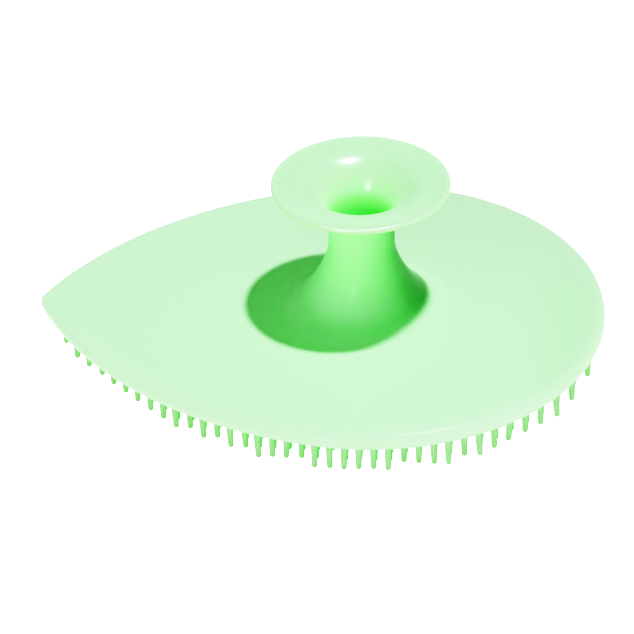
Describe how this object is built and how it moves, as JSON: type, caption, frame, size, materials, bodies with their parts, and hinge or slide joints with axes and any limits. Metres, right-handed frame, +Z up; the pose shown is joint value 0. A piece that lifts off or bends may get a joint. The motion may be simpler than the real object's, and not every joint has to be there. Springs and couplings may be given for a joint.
{
  "type": "facial cleansing brush",
  "caption": "Teardrop face-cleansing brush in soft silicone: a thin pad with a field of short tapered bristles below and a hollow flared handle above that ends in a suction cup.",
  "frame": {"origin": "under the middle of the pad's length and width, at the plane of the bristle ends", "axes": "+X towards the round heel, -X towards the pointed tip, +Y to one side, +Z up through the mouth of the suction cup"},
  "size_m": [0.088, 0.0716, 0.0291],
  "materials": {
    "silicone": "translucent pale green silicone, satin"
  },
  "bodies": {
    "pad": {"pad_plate": "silicone", "middle_bristles": "silicone", "stem_foot": "silicone"},
    "tip": {"tip_plate": "silicone", "tip_bristles": "silicone"},
    "heel": {"heel_plate": "silicone", "heel_bristles": "silicone"},
    "stem": {"stem": "silicone"},
    "cup": {"cup_throat": "silicone", "cup_wall": "silicone"},
    "lip": {"cup_lip": "silicone"}
  },
  "joints": [
    {"name": "tip_flex", "type": "hinge", "parent": "pad", "child": "tip", "pos_m": [-0.0166, 0, 0.0057], "axis": [0, 1, 0], "range_deg": [-10, 32], "stiffness_Nm_per_rad": 0.004},
    {"name": "heel_flex", "type": "hinge", "parent": "pad", "child": "heel", "pos_m": [0.0274, 0, 0.0057], "axis": [0, -1, 0], "range_deg": [-10, 30], "stiffness_Nm_per_rad": 0.004},
    {"name": "stem_tilt", "type": "hinge", "parent": "pad", "child": "stem", "pos_m": [0.0065, 0, 0.0151], "axis": [0, 1, 0], "range_deg": [-20, 20], "stiffness_Nm_per_rad": 0.02},
    {"name": "cup_sway", "type": "hinge", "parent": "stem", "child": "cup", "pos_m": [0.0065, 0, 0.0181], "axis": [1, 0, 0], "range_deg": [-20, 20], "stiffness_Nm_per_rad": 0.02},
    {"name": "cup_press", "type": "slide", "parent": "cup", "child": "lip", "axis": [0, 0, -1], "range_m": [0, 0.003], "stiffness_N_per_m": 100, "deforming": ["cup_wall"]}
  ]
}
